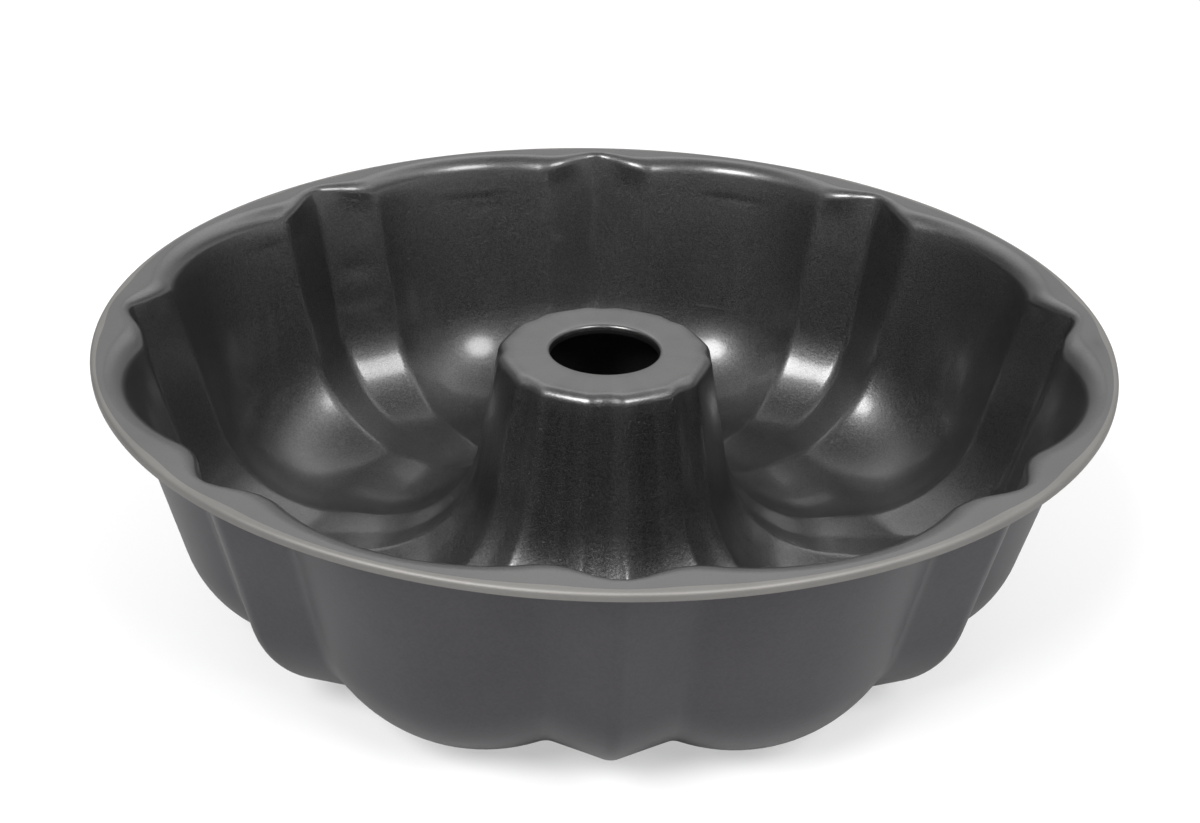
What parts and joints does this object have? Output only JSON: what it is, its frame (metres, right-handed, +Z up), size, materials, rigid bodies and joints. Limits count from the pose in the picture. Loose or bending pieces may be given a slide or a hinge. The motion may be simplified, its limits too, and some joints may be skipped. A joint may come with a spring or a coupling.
{
  "type": "fluted ring cake mould",
  "caption": "One-piece fluted ring mould: rounded lobes between narrow V flutes run from a turned-down rim down the wall, over the floor and up a hollow, open centre tube.",
  "frame": {"origin": "centre of the circle that the mould stands on, at the height of the lobes' lowest lines", "axes": "+Z up along the axis of the tube, out of the open side; a flute lies on +X and on +Y"},
  "size_m": [0.26, 0.26, 0.074],
  "materials": {
    "coated_steel": "dark grey metallic non-stick coating, satin"
  },
  "bodies": {
    "root": {"mould_shell": "coated_steel"}
  },
  "joints": []
}
